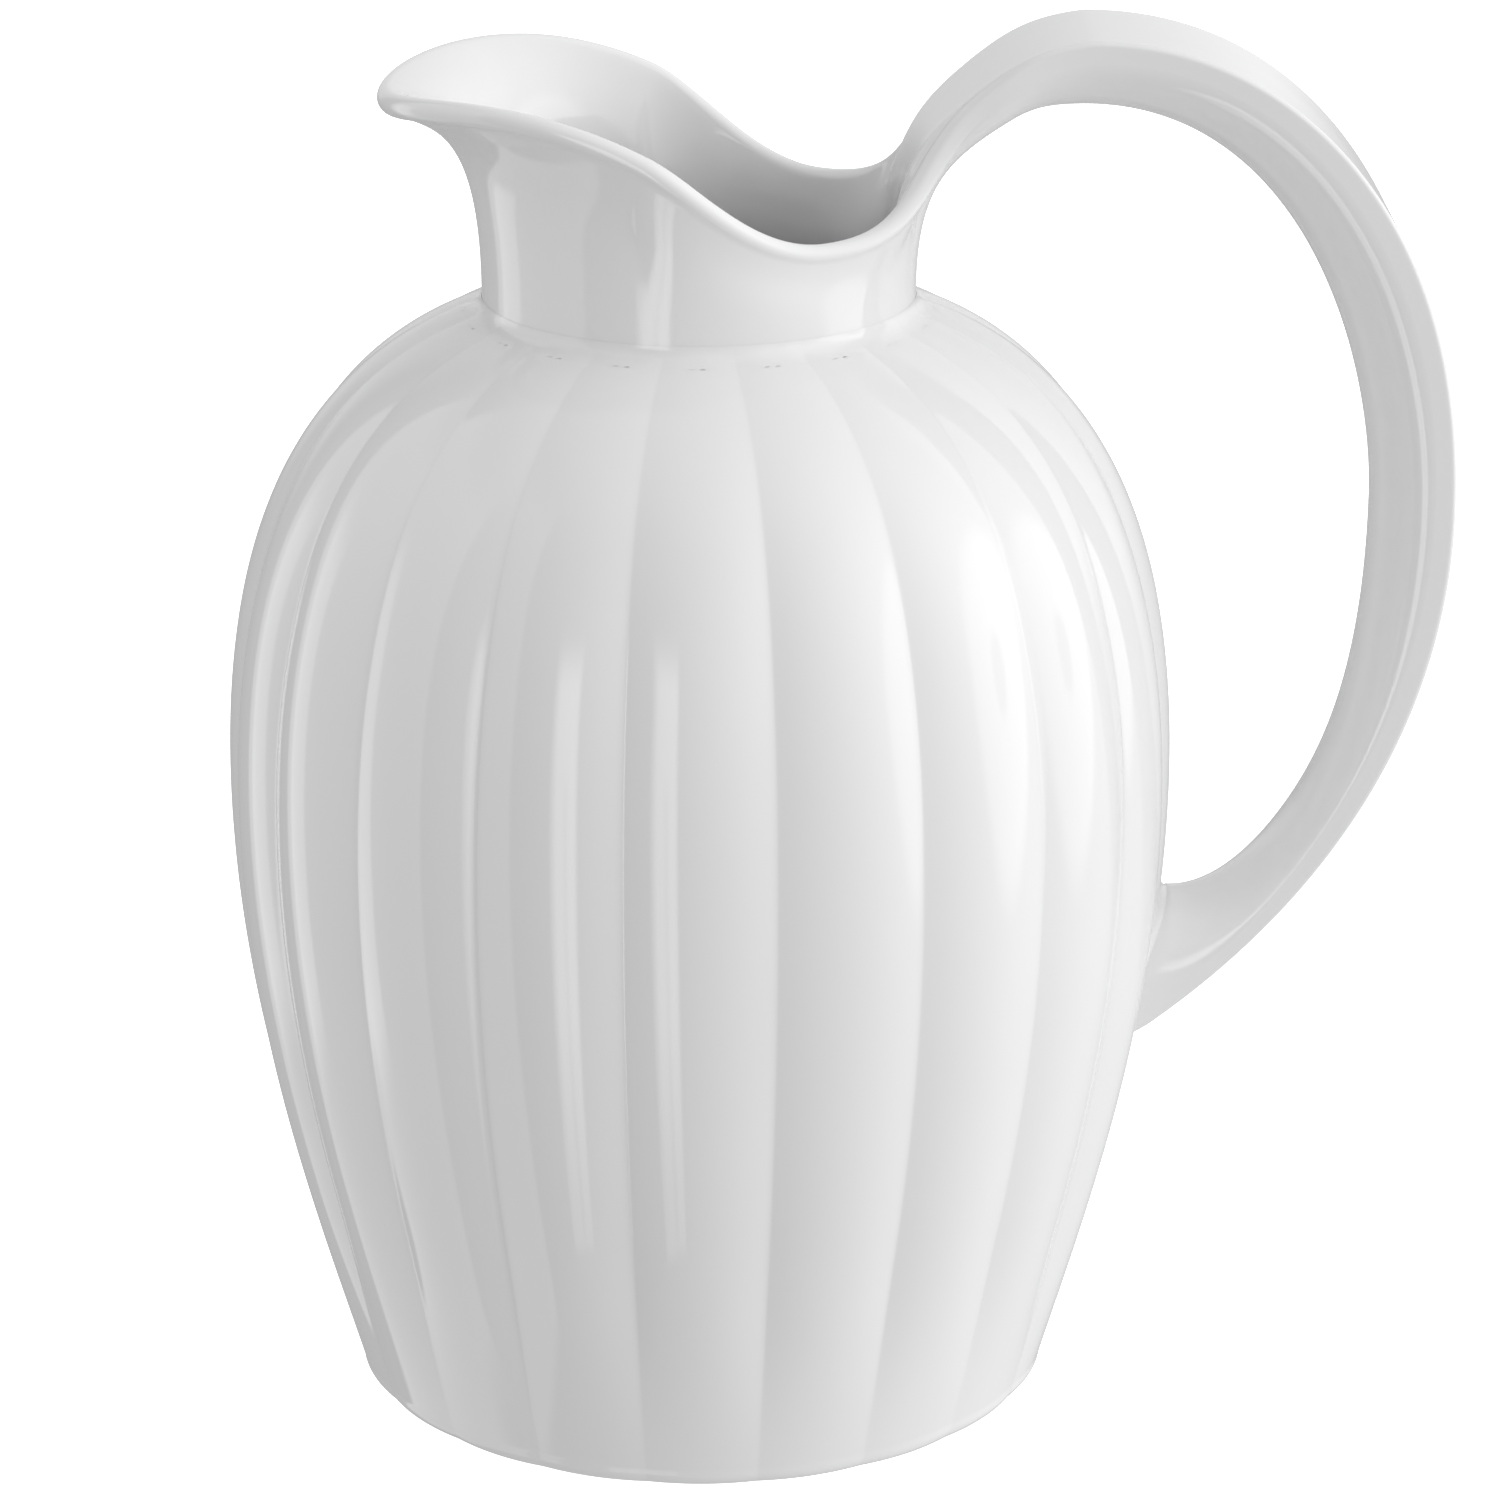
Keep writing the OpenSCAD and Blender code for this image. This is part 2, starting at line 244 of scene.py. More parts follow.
def ramp(tree, value, low, high):
    """Carries a number from 0..1 over to low..high."""
    node = tree.nodes.new("ShaderNodeMapRange")
    node.inputs["To Min"].default_value = low
    node.inputs["To Max"].default_value = high
    tree.links.new(value, node.inputs["Value"])
    return node.outputs["Result"]


def blend_colours(tree, share, first, second):
    """Mixes two colours, each a fixed colour or another node's output."""
    node = tree.nodes.new("ShaderNodeMix")
    node.data_type = "RGBA"
    tree.links.new(share, node.inputs["Factor"])
    for socket, colour in (("A", first), ("B", second)):
        place = next(s for s in node.inputs if s.name == socket and s.type == "RGBA")
        if isinstance(colour, tuple):
            place.default_value = (*colour, 1)
        else:
            tree.links.new(colour, place)
    return next(s for s in node.outputs if s.type == "RGBA")


def bump(tree, height, depth, under=None):
    """Surface relief, depth metres from its lowest to its highest point."""
    node = tree.nodes.new("ShaderNodeBump")
    node.inputs["Distance"].default_value = depth
    tree.links.new(height, node.inputs["Height"])
    if under is not None:
        tree.links.new(under, node.inputs["Normal"])
    return node.outputs["Normal"]


def glaze_material():
    """Clear gloss glaze on white porcelain, with painted shade: a little darker along the creases,
    and greyer inside.
    """
    material, tree, shader = new_material("porcelain_glaze")
    white = blend_colours(tree, noise(tree, 22), WHITE_LOW, WHITE_HIGH)
    # Painted shade, a little darker along the creases
    colour = blend_colours(tree, stored(tree, "painted_crease_shade"), white, CREASE_SHADE_WHITE)
    # Painted shade: the inner value greys the inside walls
    colour = blend_colours(tree, stored(tree, "inner"), colour, INSIDE_SHADE_GREY)
    tree.links.new(colour, shader.inputs["Base Color"])
    tree.links.new(ramp(tree, noise(tree, 60, 3), 0.03, 0.07), shader.inputs["Roughness"])
    shader.inputs["IOR"].default_value = GLAZE_IOR
    waves = bump(tree, noise(tree, 38, 1, (1, 1, 0.35)), 0.1 * MM)
    skin = bump(tree, noise(tree, 700, 2), 0.002 * MM, waves)
    tree.links.new(skin, shader.inputs["Normal"])
    return material


def slip_material():
    """Luting slip under the same glaze: a little less even."""
    material, tree, shader = new_material("glazed_slip")
    colour = blend_colours(tree, noise(tree, 260, 3), SLIP_LOW, WHITE_HIGH)
    tree.links.new(colour, shader.inputs["Base Color"])
    tree.links.new(ramp(tree, noise(tree, 300), 0.05, 0.10), shader.inputs["Roughness"])
    shader.inputs["IOR"].default_value = GLAZE_IOR
    tree.links.new(bump(tree, noise(tree, 300), 0.02 * MM), shader.inputs["Normal"])
    return material


def bare_clay_material():
    """Unglazed, sanded porcelain: matt and warm grey, with fine grains."""
    material, tree, shader = new_material("bare_clay")
    clay = blend_colours(tree, noise(tree, 180, 4), CLAY_DARK, CLAY_LIGHT)
    grains = ramp(tree, noise(tree, 2600, 1), -1.6, 1.2)
    colour = blend_colours(tree, grains, clay, CLAY_GRAIN)
    tree.links.new(colour, shader.inputs["Base Color"])
    tree.links.new(ramp(tree, noise(tree, 500), 0.7, 0.9), shader.inputs["Roughness"])
    tree.links.new(bump(tree, noise(tree, 1800, 4), 0.06 * MM), shader.inputs["Normal"])
    return material


# ---- body ----

SHOULDER_R = NECK_R + 2
THROAT_R = NECK_R - NECK_WALL
FLOOR_Z = FOOT_H + RECESS_H + FLOOR_T
FLOOR_R = BOTTOM_R - 8
COVE_R = 6
INNER_R = BELLY_R - BODY_WALL
LOBE_PITCH = 2 * math.pi / LOBES
# How many points go round each lobe, and rows from the bottom edge to the belly and to the neck
PER_LOBE = 20
LOWER_N, UPPER_N = 88, 104
INSIDE_N = 30


def quarter(count):
    return np.radians(90 * steps(count))


def crest_profile():
    """Radius and height of the lobes' crests, from the bottom edge up to the neck."""
    bottom_z = FOOT_H + EDGE_R
    turn = quarter(8)[:-1]
    edge = np.stack(
        [BOTTOM_R - EDGE_R + EDGE_R * np.sin(turn), bottom_z - EDGE_R * np.cos(turn)], -1)
    lower = bezier(
        (BOTTOM_R, bottom_z), (BOTTOM_R + 7, bottom_z + 24),
        (BELLY_R, BELLY_Z - 42), (BELLY_R, BELLY_Z), steps(LOWER_N)[:-1])
    upper = bezier(
        (BELLY_R, BELLY_Z), (BELLY_R, BELLY_Z + 40),
        (SHOULDER_R + 30.8, NECK_Z - 10.8), (SHOULDER_R, NECK_Z), steps(UPPER_N))
    return np.concatenate([edge, lower, upper])


def inside_profile():
    """Radius and height of the inside, from the neck down to the floor."""
    upper = bezier(
        (THROAT_R + 1.5, NECK_Z - 5), (SHOULDER_R + 25, NECK_Z - 16),
        (INNER_R, BELLY_Z + 38), (INNER_R, BELLY_Z), steps(INSIDE_N))
    lower = bezier(
        (INNER_R, BELLY_Z), (INNER_R, BELLY_Z - 42),
        (BOTTOM_R + 0.5, FLOOR_Z + 24), (FLOOR_R, FLOOR_Z + COVE_R), steps(INSIDE_N)[1:])
    turn = quarter(6)[1:]
    cove = np.stack([
        FLOOR_R - COVE_R + COVE_R * np.cos(turn), FLOOR_Z + COVE_R - COVE_R * np.sin(turn)], -1)
    top = np.array([(THROAT_R, NECK_Z), (THROAT_R, NECK_Z - 2.5)])
    return np.concatenate([top, upper, lower, cove])


def crease_share(z):
    """Share of the full crease depth at a height: shallow at both ends."""
    rise = ease((z - FOOT_H) / (0.4 * BELLY_Z - FOOT_H))
    fade = ease((z - 1.3 * BELLY_Z) / (NECK_Z - 1.3 * BELLY_Z))
    return mix(0.2, 1, rise) * mix(1, 0.35, fade)


def lobe_offset(angle):
    """How far an angle is from its lobe's crest: 0 on the crest, 1 in the crease."""
    half = LOBE_PITCH / 2
    return np.abs((angle + half) % LOBE_PITCH - half) / half


def lobe_fall(angle):
    """Share of the crease depth at an angle. Glaze rounds the bottom of the crease."""
    return (1 - np.hypot(1 - lobe_offset(angle), CREASE_SOFT)) ** 2


CREST = crest_profile()


def outside_radius(angle, z):
    crest = np.interp(z, CREST[:, 1], CREST[:, 0])
    return crest - CREASE_DEPTH * crease_share(z) * lobe_fall(angle)


def lobe_angles():
    """Angles round the body, closer together near the creases."""
    across = np.sin(np.pi / 2 * np.linspace(-1, 1, PER_LOBE, endpoint=False))
    return (np.arange(LOBES)[:, None] * LOBE_PITCH + across[None, :] * LOBE_PITCH / 2).ravel()


def make_body(material):
    angle = lobe_angles()
    recess_r = FOOT_R - FOOT_W - 1
    underside = around([recess_r - RECESS_H, recess_r], [FOOT_H + RECESS_H, FOOT_H], angle)
    fall = CREASE_DEPTH * column(crease_share(CREST[:, 1])) * lobe_fall(angle)[None, :]
    radius = column(CREST[:, 0]) - fall
    outside = point(radius * np.cos(angle), radius * np.sin(angle), column(CREST[:, 1]))
    profile = inside_profile()
    inside = around(profile[:, 0], profile[:, 1], angle)
    rings = np.concatenate([underside, outside, inside])
    piece = new_piece("lobed_body", rings, material, ["body"])
    # Painted shade in a narrow band along each crease, as strong as the crease is deep
    near_crease = np.clip(1 - (1 - lobe_offset(angle)) * 9, 0, 1) ** 2
    painted_crease_shade = np.zeros(rings.shape[:2])
    rows = slice(len(underside), len(underside) + len(outside))
    painted_crease_shade[rows] = column(crease_share(CREST[:, 1])) * near_crease[None, :]
    store(piece, "painted_crease_shade", painted_crease_shade)
    # Painted shade over the whole inside of the body
    inner = np.zeros(rings.shape[:2])
    inner[-len(inside):] = 1
    store(piece, "inner", inner)
    return piece


# ---- neck, mouth and pouring lip ----

CUT_TOP = np.array([46, 0, ARCH_Z - 7.6])
CUT_RUN = unit(np.array([0.785, 0, 0.62]))
CUT_DOWN = unit(np.array([0.62, 0, -0.785]))
CUT_BACK_RUN = unit(np.array([0.87, 0, 0.52]))
CUT_DEPTH = 9
CUT_CORNER = CUT_TOP + np.array([0, STRAP_TOP_W - LIP_HALF, 0]) + LIP_HALF * CUT_DOWN

# Middle line of the rim on the y > 0 side: from the tip to the widest point, the dip and the cut
TIP_HALF = 2
TIP = np.array([-50.6, 0, 224.6])
SIDE = np.array([-8.5, 36.95, TIP[2] - 4.1])
SIDE_BEFORE = np.array([0.633 * TIP[0], 32.7, TIP[2] + 7.3])
SIDE_RUN = unit(SIDE - SIDE_BEFORE)
DIP = np.array([20.5, 27.4, 206 - LIP_HALF])
DIP_RUN = unit(np.array([1, -0.58, 0]))
RIM_FRONT = (TIP, TIP + np.array([0, 22.6, 0]), SIDE_BEFORE, SIDE)
RIM_SIDE = (SIDE, SIDE + 8.5 * SIDE_RUN, DIP - 14.2 * DIP_RUN, DIP)
RIM_BACK = (DIP, DIP + 20.2 * DIP_RUN, CUT_CORNER - 17.1 * CUT_RUN, CUT_CORNER)

# How far the lip rolls over and how far the wall leans out, in degrees
LIP_ROLL = 30
LEAN_TIP = 78
LEAN_SIDE = 20
LEAN_DIP = 4
LEAN_CUT = 52
# Pull of the wall's upright start and of its flared end, as shares of its height
UPRIGHT = 0.6
FLARE = 0.42
UPRIGHT_TIP = 0.74
FLARE_TIP = 0.29

FRONT_N, SIDE_N, BACK_N = 56, 30, 40
STRAP_N = 32
WALL_N = 30
LIP_Q = 8


def rim_frames():
    """For points along the rim: place, direction, outward normal, up, and shares of the way."""
    parts = (
        (RIM_FRONT, steps(FRONT_N)[:-1], LEAN_TIP, LEAN_SIDE, ease),
        (RIM_SIDE, steps(SIDE_N)[:-1], LEAN_SIDE, LEAN_DIP, np.asarray),
        (RIM_BACK, steps(BACK_N), LEAN_DIP, LEAN_CUT, ease))
    rows = []
    for number, (curve, t, lean_from, lean_to, shape) in enumerate(parts):
        middle, along = bezier(*curve, t), heading(*curve, t)
        lean = np.radians(mix(lean_from, lean_to, shape(t)))
        back = t if number == 2 else 0 * t
        tip = 1 - ease(t) if number == 0 else 0 * t
        azimuth = np.arctan2(middle[:, 1], middle[:, 0]) * (1 - ease(back))
        guess = point(np.cos(azimuth) * np.cos(lean), np.sin(azimuth) * np.cos(lean), -np.sin(lean))
        outward = unit(guess - (guess * along).sum(-1, keepdims=True) * along)
        rows.append((middle, along, outward, np.cross(along, outward), back, tip))
    return [np.concatenate(x) for x in zip(*rows)]


def wall(angle, radius, z, top, lean, upright, flare):
    """Wall points from the foot at a radius up to the rim, for many sections at once."""
    foot = point(radius * np.cos(angle), radius * np.sin(angle), z + 0 * angle)
    rise = top[:, 2] - foot[:, 2]
    second = foot + point(0, 0, upright * rise)
    third = top - column(flare * rise) * lean
    t = steps(WALL_N)[None, :]
    return bezier(foot[:, None], second[:, None], third[:, None], top[:, None], t)


def section(angle, lip, lean_in, lean_out, upright, flare):
    """Closed sections of the neck: up the inside, over the lip, down the outside."""
    inside = wall(angle, THROAT_R, NECK_Z, lip[:, 0], lean_in, upright, flare)
    outside = wall(angle, NECK_R, NECK_Z + COLLAR_H, lip[:, -1], lean_out, upright, flare)
    foot = point(NECK_R * np.cos(angle), NECK_R * np.sin(angle), NECK_Z)
    return np.concatenate([inside, lip[:, 1:-1], outside[:, ::-1], foot[:, None]], axis=1)


def rim_sections():
    middle, along, outward, up, back, tip = rim_frames()
    half = mix(LIP_HALF, TIP_HALF, tip)
    roll = LIP_ROLL * (1 - ease(back))
    turn = np.radians((180 + roll)[:, None] * steps(2 * LIP_Q)[None, :])
    square = (turn > np.pi / 2) * ease(back)[:, None]
    rise = column(mix(np.sin(turn), 1, square)) * up[:, None]
    lip = middle[:, None] + half[:, None, None] * (rise - column(np.cos(turn)) * outward[:, None])
    lean = unit(mix(up, along, column(ease(back))))
    upright, flare = mix(UPRIGHT, UPRIGHT_TIP, tip), mix(FLARE, FLARE_TIP, tip)
    return section(np.arctan2(middle[:, 1], middle[:, 0]), lip, lean, lean, upright, flare)


def strap_depth(s, depth):
    return STRAP_EDGE + (depth - STRAP_EDGE) * np.sin(np.pi * s)


def strap_sections():
    """Sections that end in the flat cut across the start of the strap."""
    s = steps(STRAP_N)[1:-1]
    face = CUT_TOP + point(0, (STRAP_TOP_W - LIP_HALF) * np.cos(np.pi * s), 0)
    back = CUT_TOP + point(0, STRAP_TOP_W * np.cos(np.pi * s), 0)
    back = back + column(strap_depth(s, CUT_DEPTH)) * CUT_DOWN
    lip = mix(face[:, None], back[:, None], steps(2 * LIP_Q)[None, :, None])
    angle = np.arctan2(CUT_CORNER[1], CUT_CORNER[0]) * np.cos(np.pi * s)
    lean_in = np.broadcast_to(CUT_RUN, face.shape)
    lean_out = unit(mix(CUT_RUN, CUT_BACK_RUN, column(np.sin(np.pi * s))))
    whole = np.ones(len(s))
    return section(angle, lip, lean_in, lean_out, UPRIGHT * whole, FLARE * whole)


def mirrored(points):
    return points * np.array([1, -1, 1])


RIM = rim_sections()
STRAP_FOOT = strap_sections()
INNER_END = WALL_N
OUTER_START = WALL_N + 2 * LIP_Q


def cut_ring(back=0):
    """Closed ring round the cut, or the ring that many steps before it on the neck."""
    corner = RIM[-1 - back, INNER_END:OUTER_START + 1]
    under = STRAP_FOOT[:, OUTER_START + back]
    over = STRAP_FOOT[:, INNER_END - back]
    return np.concatenate([corner, under, mirrored(corner)[::-1], over[::-1]])


def make_neck(material):
    rings = np.concatenate([RIM, STRAP_FOOT, mirrored(RIM[:0:-1])])
    piece = new_piece("neck_and_lip", rings, material, ["neck"], closed_loop=True)
    # Painted shade on the neck's inside wall: greyest at its foot, gone by about halfway up to the
    # lip
    inner = np.zeros(rings.shape[:2])
    inner[:, :INNER_END] = 1 - ease(2.2 * steps(WALL_N)[:-1])
    store(piece, "inner", inner)
    return piece


# ---- handle ----

# Points that the middle lines of the strap's outer face and of its inner side pass through
ARCH = np.array([64, 0, ARCH_Z])
REACH = np.array([HANDLE_REACH, 0, BELLY_Z + 49])
ROOT = np.array([76.2, 0, REACH[2] - 92])
CUT_BACK = CUT_TOP + CUT_DEPTH * CUT_DOWN
ARCH_BACK = ARCH - np.array([1, 0, 12.5])
REACH_BACK = REACH - np.array([12.8, 0, 2])
ROOT_BACK = np.array([80.4, 0, REACH[2] - 71])


def shifted(place, x, z):
    return place + np.array([x, 0, z])


OUTER_RAIL = (
    (CUT_TOP, CUT_TOP + 6 * CUT_RUN, shifted(ARCH, -8.5, -0.9), ARCH),
    (ARCH, shifted(ARCH, 36, 0), shifted(REACH, 0, 46), REACH),
    (REACH, shifted(REACH, 0, -38.5), shifted(ROOT, 29.2, 21.8), ROOT))
INNER_RAIL = (
    (CUT_BACK, CUT_BACK + 4 * CUT_BACK_RUN, shifted(ARCH_BACK, -5, 0), ARCH_BACK),
    (ARCH_BACK, shifted(ARCH_BACK, 36, 0), shifted(REACH_BACK, 0, 25), REACH_BACK),
    (REACH_BACK, shifted(REACH_BACK, 0, -54.5), shifted(ROOT_BACK, 11.6, -1.4), ROOT_BACK))
RAIL_STEPS = (18, 70, 70)
# How far the inner rail lags behind the outer one, to keep sections square
RAIL_LAG = (0, 0.08, 0.13)
STRAP_W = (
    (STRAP_TOP_W, STRAP_ARCH_W, 0),
    (STRAP_ARCH_W, STRAP_REACH_W, STRAP_SWELL),
    (STRAP_REACH_W, STRAP_LOW_W, 0))
RIDGE_R = 0.8


def strap_ring(outer, inner, half_w, ridge_r):
    """Closed section of the strap: a flat outer face, two ridges and a rounded inner side."""
    depth = np.linalg.norm(inner - outer)
    down = (inner - outer) / depth
    turn = quarter(LIP_Q)
    corner_across = np.concatenate([half_w - ridge_r + ridge_r * np.sin(turn), half_w + 0 * turn[1:]])
    side = mix(ridge_r, STRAP_EDGE, np.sin(turn[1:]))
    corner_depth = np.concatenate([ridge_r - ridge_r * np.cos(turn), side])
    s = steps(STRAP_N)[1:-1]
    across = np.concatenate([
        corner_across, half_w * np.cos(np.pi * s), -corner_across[::-1],
        (half_w - ridge_r) * np.cos(np.pi * s)[::-1]])
    depths = np.concatenate([corner_depth, strap_depth(s, depth), corner_depth[::-1], 0 * s])
    return outer + point(0, across, 0) + column(depths) * down


def strap_rings():
    rings = [cut_ring()]
    for part in range(3):
        w_from, w_to, bulge = STRAP_W[part]
        for t in steps(RAIL_STEPS[part])[1:]:
            lag = t - RAIL_LAG[part] * np.sin(np.pi * t)
            half_w = mix(w_from, w_to, ease(t)) + bulge * np.sin(np.pi * t) ** 2
            ridge_r = mix(LIP_HALF, RIDGE_R, ease(1.6 * t)) if part == 0 else RIDGE_R
            rings.append(strap_ring(
                bezier(*OUTER_RAIL[part], t), bezier(*INNER_RAIL[part], lag), half_w, ridge_r))
    return np.array(rings)


STRAP = strap_rings()
ROOT_SINK = 5


def make_handle(material):
    sunk = STRAP[-1] + ROOT_SINK * unit(STRAP[-1] - STRAP[-2]).mean(0)
    rings = np.concatenate([STRAP, sunk[None]])
    return new_piece("strap_handle", rings, material, ["handle"])


# ---- joints and foot ----

# How far a seam's upper and lower edge and its hidden side go into the neighbours
SINK = 0.05
HEAD_SINK = 0.35
HIDE = 0.8
SEAM_N = 10
# The neck's seam runs from a little below the shoulder's top up the neck
NECK_SEAM_DROP = 0.45
NECK_SEAM_RISE = 2.6
HANDLE_SEAM_W = 1.5


def fillet(foot, knee, head):
    """Rows of points on curves from each foot to its head, drawn towards its knee."""
    t = steps(SEAM_N)[:, None, None]
    return (1 - t) ** 2 * foot + 2 * t * (1 - t) * knee + t ** 2 * head


def on_body(p, lift=0):
    """The same points moved out or in to the lobed outside, or to lift millimetres off it."""
    angle = np.arctan2(p[:, 1], p[:, 0])
    radius = outside_radius(angle, p[:, 2]) + lift
    return point(radius * np.cos(angle), radius * np.sin(angle), p[:, 2])


def make_neck_joint(material):
    """Concave fillet from the lobed shoulder up to the neck."""
    angle = lobe_angles()
    foot = on_body(around([NECK_R], [NECK_Z - NECK_SEAM_DROP], angle)[0])
    knee = around([NECK_R + 0.15], [NECK_Z + 0.6], angle)[0]
    head = around([NECK_R + SINK], [NECK_Z + NECK_SEAM_RISE], angle)[0]
    hidden = around([NECK_R - HIDE], [NECK_Z - HIDE / 2], angle)
    rings = np.concatenate([fillet(foot, knee, head), hidden])
    return new_piece("neck_seam", rings, material, ["neck_joint"], closed_loop=True)


def drop_to_body(start, direction, reach=12):
    """Where lines from start first meet the lobed outside, found by halving."""
    near, far = np.zeros(len(start)), np.full(len(start), float(reach))
    for _ in range(24):
        middle = (near + far) / 2
        p = start + middle[:, None] * direction
        inside = np.hypot(p[:, 0], p[:, 1]) < outside_radius(np.arctan2(p[:, 1], p[:, 0]), p[:, 2])
        near, far = np.where(inside, near, middle), np.where(inside, middle, far)
    return start + near[:, None] * direction


def make_handle_joint(material):
    """Small fillet of slip round the strap's lower end, between the strap and the lobes."""
    width = HANDLE_SEAM_W
    end = STRAP[-1]
    inward = unit(end - STRAP[-2])
    foot = drop_to_body(end - 2 * width * inward, inward)
    run = unit(np.roll(end, -1, 0) - np.roll(end, 1, 0))
    out = unit(np.cross(run, inward))
    out *= np.sign((out * (end - end.mean(0))).sum(-1, keepdims=True))
    head = foot - width * inward - HEAD_SINK * out
    toe = on_body(foot + width * out, -SINK)
    knee = foot + 0.12 * width * (out - inward)
    hidden = (foot - HIDE * out + HIDE * inward)[None]
    rings = np.concatenate([fillet(toe, knee, head), hidden])
    return new_piece("handle_seam", rings, material, ["handle_joint"], closed_loop=True)


def make_foot(material):
    """Low unglazed ring with both edges of its underside worn round."""
    worn = 0.5
    turn = quarter(5)
    outer, inner = FOOT_R, FOOT_R - FOOT_W
    radius = np.concatenate([
        [inner], inner + worn - worn * np.cos(turn), outer - worn + worn * np.sin(turn), [outer]])
    height = np.concatenate([
        [FOOT_H], worn - worn * np.sin(turn), worn - worn * np.cos(turn), [FOOT_H]])
    rings = around(radius, height, 2 * math.pi * steps(192)[:-1])
    return new_piece("foot", rings, material, ["foot_ring"], closed_loop=True)


# ---- stage, lights and camera ----

# Metres and degrees. The camera tilts down, and turns about the vertical.
FLOOR_HALF = 30
DOME_R = 10
CAMERA_PLACE = (0, -0.9, 0.418)
CAMERA_TILT = 18.8366
CAMERA_TURN = -0.5393
SENSOR_MM = 36
LENS_MM = 133.93

# Broad lights of the room: strength, azimuth, elevation and how narrow each one is
ROOM_LIGHT = 0.44
BROAD_LIGHTS = (
    (0.25, 80, 0, 8),
    (1.33, 80, 30, 4),
    (0.48, 30, 20, 4),
    (0.36, 130, 0, 4),
    (0.3, 90, -50, 4),
    (0.44, -100, 10, 4),
    (0.08, 0, 90, 4))

# Strength of each light that only the glaze mirrors
DISH_GLINT = 1.0
STRIP_GLINT = 0.85
STRIP_TOP_GLINT = 1.8
LEFT_GLINT = 0.82
FILL_GLINT = 0.77
BACK_GLINT = 0.34
SKY_GLINT = 0.3
FLOOR_GLINT = 0.1

# Share of the strip's light that its dark middle seam takes away
SEAM_SHADE = 0.6


def make_floor():
    """Plain white floor, lit from below like a light table, which throws no light on the pitcher."""
    mesh = bpy.data.meshes.new("floor")
    half = FLOOR_HALF
    corners = [(-half, -half, 0), (half, -half, 0), (half, half, 0), (-half, half, 0)]
    mesh.from_pydata(corners, [], [(0, 1, 2, 3)])
    material, _, shader = new_material("white_floor")
    shader.inputs["Base Color"].default_value = (0.9, 0.9, 0.9, 1)
    shader.inputs["Roughness"].default_value = 0.9
    shader.inputs["Emission Color"].default_value = (1, 1, 1, 1)
    shader.inputs["Emission Strength"].default_value = 1.0
    mesh.materials.append(material)
    floor = add_object("floor", mesh)
    floor.visible_diffuse = False
    floor.visible_glossy = False
    floor.visible_shadow = False


def light_from(azimuth, elevation):
    """Direction in degrees as a unit vector. Azimuth 0 is the camera's side, 90 the handle's."""
    a, e = math.radians(azimuth), math.radians(elevation)
    return math.sin(a) * math.cos(e), -math.cos(a) * math.cos(e), math.sin(e)


def calc(tree, operation, first, second=None):
    """One sum of two values, each a number or another node's output."""
    node = tree.nodes.new("ShaderNodeMath")
    node.operation = operation
    for place, value in zip(node.inputs, (first, second)):
        if isinstance(value, (int, float)):
            place.default_value = value
        elif value is not None:
            tree.links.new(value, place)
    return node.outputs["Value"]


def toward(tree, sight, direction):
    """Cosine between the looked-at direction and a fixed one."""
    node = tree.nodes.new("ShaderNodeVectorMath")
    node.operation = "DOT_PRODUCT"
    tree.links.new(sight, node.inputs[0])
    node.inputs[1].default_value = direction
    return node.outputs["Value"]


def soft_step(tree, value, start, end):
    """0 before start, 1 past end, with a soft edge between. It also runs downwards."""
    node = tree.nodes.new("ShaderNodeMapRange")
    node.interpolation_type = "SMOOTHSTEP"
    node.inputs["From Min"].default_value = start
    node.inputs["From Max"].default_value = end
    tree.links.new(value, node.inputs["Value"])
    return node.outputs["Result"]


def soft_disc(tree, sight, azimuth, elevation, full, gone):
    """Round light with a soft edge between two angles from its middle, in degrees."""
    near = toward(tree, sight, light_from(azimuth, elevation))
    return soft_step(tree, near, math.cos(math.radians(gone)), math.cos(math.radians(full)))


def soft_strip(tree, sight, azimuth, width, width_soft, low, low_soft, high, high_soft):
    """Upright strip light with soft edges: half widths and elevations in degrees."""
    ahead = calc(tree, "MAXIMUM", toward(tree, sight, light_from(azimuth, 0)), 0.001)
    beside = calc(tree, "ABSOLUTE", toward(tree, sight, light_from(azimuth + 90, 0)))
    slant = calc(tree, "DIVIDE", beside, ahead)
    height = toward(tree, sight, (0, 0, 1))
    sides = soft_step(tree, slant, math.tan(math.radians(width + width_soft)),
                      math.tan(math.radians(width)))
    foot = soft_step(
        tree, height, math.sin(math.radians(low - low_soft)), math.sin(math.radians(low)))
    head = soft_step(
        tree, height, math.sin(math.radians(high + high_soft)), math.sin(math.radians(high)))
    return calc(tree, "MULTIPLY", sides, calc(tree, "MULTIPLY", foot, head))


def broad_light(tree, sight, azimuth, elevation, power):
    """Broad light that fades to nothing at a right angle to its middle."""
    near = calc(tree, "MAXIMUM", toward(tree, sight, light_from(azimuth, elevation)), 0)
    return calc(tree, "POWER", near, power)


def total(tree, lights, base=0):
    """Sum of (share, light) pairs."""
    for share, light in lights:
        base = calc(tree, "ADD", calc(tree, "MULTIPLY", light, share), base)
    return base


